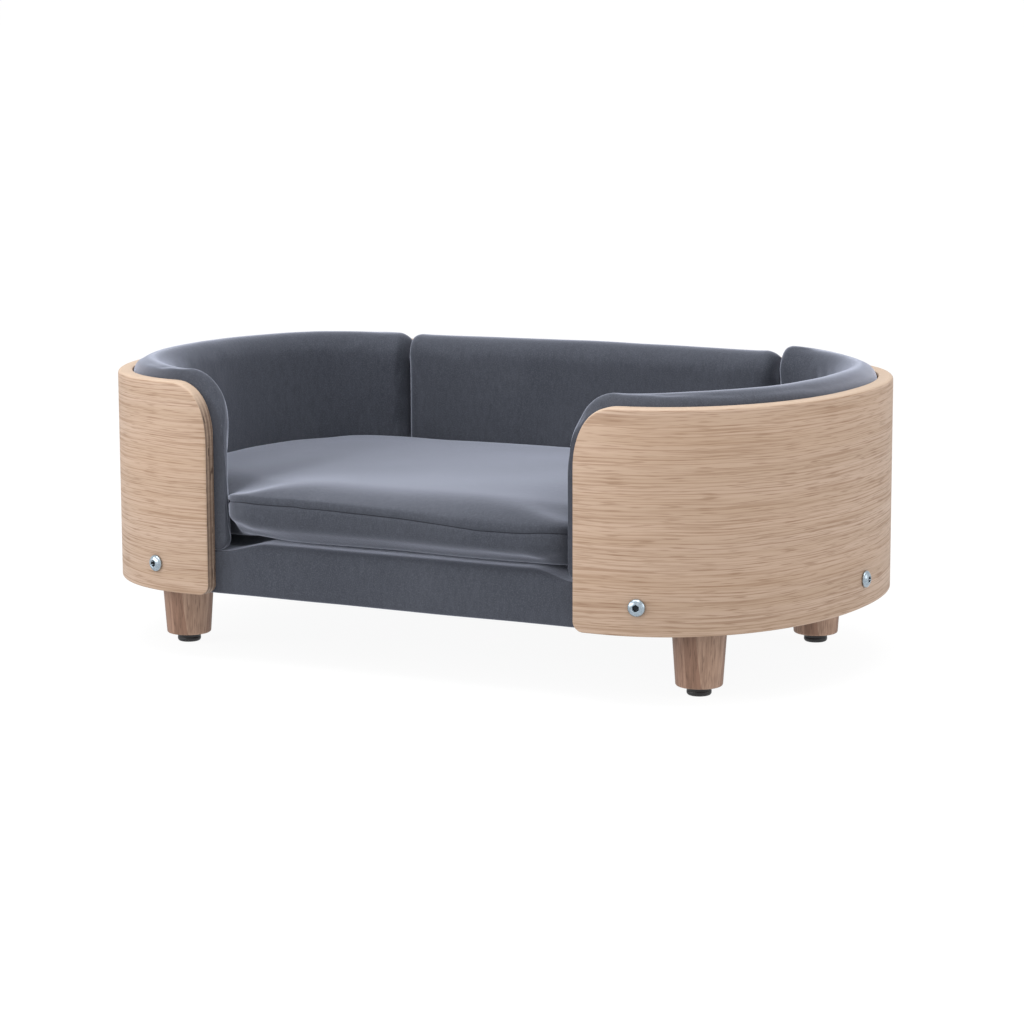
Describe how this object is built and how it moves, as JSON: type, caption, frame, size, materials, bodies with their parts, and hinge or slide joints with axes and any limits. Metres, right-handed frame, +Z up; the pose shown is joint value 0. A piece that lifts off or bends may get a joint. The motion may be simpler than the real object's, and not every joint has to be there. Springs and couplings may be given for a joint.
{
  "type": "dog bed with frame",
  "caption": "Raised dog bed: bent-plywood side and back panels with velvet pads round a padded platform on short turned legs, with a loose seat cushion.",
  "frame": {"origin": "on the floor, under the middle of the bed", "axes": "+X to the bed's right along its length, +Y to the back, +Z up; the open front faces -Y"},
  "size_m": [0.6762, 0.4059, 0.247],
  "materials": {
    "oak_plywood": "pale oak veneer, clear matt lacquer",
    "velvet": "short-pile slate grey velvet",
    "foam": "open-cell cushion foam",
    "frame_wood": "raw plywood and softwood",
    "leg_wood": "glued strips of brown wood, satin lacquer",
    "black_cloth": "black non-woven cloth and zip tape",
    "black_plastic": "moulded black plastic",
    "zinc_steel": "bright bluish zinc plate"
  },
  "bodies": {
    "frame": {"left_side_panel": "oak_plywood", "right_side_panel": "oak_plywood", "back_panel": "oak_plywood", "left_pad_cover": "velvet", "left_pad_foam": "foam", "left_pad_board": "frame_wood", "right_pad_cover": "velvet", "right_pad_foam": "foam", "right_pad_board": "frame_wood", "back_pad_cover": "velvet", "back_pad_foam": "foam", "back_pad_board": "frame_wood", "base_cover": "velvet", "base_foam": "foam", "base_rim": "frame_wood", "base_deck": "frame_wood", "left_cross_rail": "frame_wood", "centre_cross_rail": "frame_wood", "right_cross_rail": "frame_wood", "dust_cover": "black_cloth", "front_left_leg": "leg_wood", "front_left_glide": "black_plastic", "front_left_hanger_bolt": "zinc_steel", "front_left_leg_insert": "zinc_steel", "front_right_leg": "leg_wood", "front_right_glide": "black_plastic", "front_right_hanger_bolt": "zinc_steel", "front_right_leg_insert": "zinc_steel", "rear_left_leg": "leg_wood", "rear_left_glide": "black_plastic", "rear_left_hanger_bolt": "zinc_steel", "rear_left_leg_insert": "zinc_steel", "rear_right_leg": "leg_wood", "rear_right_glide": "black_plastic", "rear_right_hanger_bolt": "zinc_steel", "rear_right_leg_insert": "zinc_steel", "left_front_bolt": "zinc_steel", "left_front_bolt_insert": "zinc_steel", "left_side_bolt": "zinc_steel", "left_side_bolt_insert": "zinc_steel", "left_rear_bolt": "zinc_steel", "left_rear_bolt_insert": "zinc_steel", "right_front_bolt": "zinc_steel", "right_front_bolt_insert": "zinc_steel", "right_side_bolt": "zinc_steel", "right_side_bolt_insert": "zinc_steel", "right_rear_bolt": "zinc_steel", "right_rear_bolt_insert": "zinc_steel", "back_left_bolt": "zinc_steel", "back_left_bolt_insert": "zinc_steel", "back_right_bolt": "zinc_steel", "back_right_bolt_insert": "zinc_steel"},
    "cushion": {"cushion_cover": "velvet", "cushion_foam": "foam", "cushion_zip": "black_cloth"}
  },
  "joints": [
    {"name": "cushion_lift", "type": "slide", "parent": "frame", "child": "cushion", "axis": [0, 0, 1], "range_m": [0, 0.2]}
  ]
}
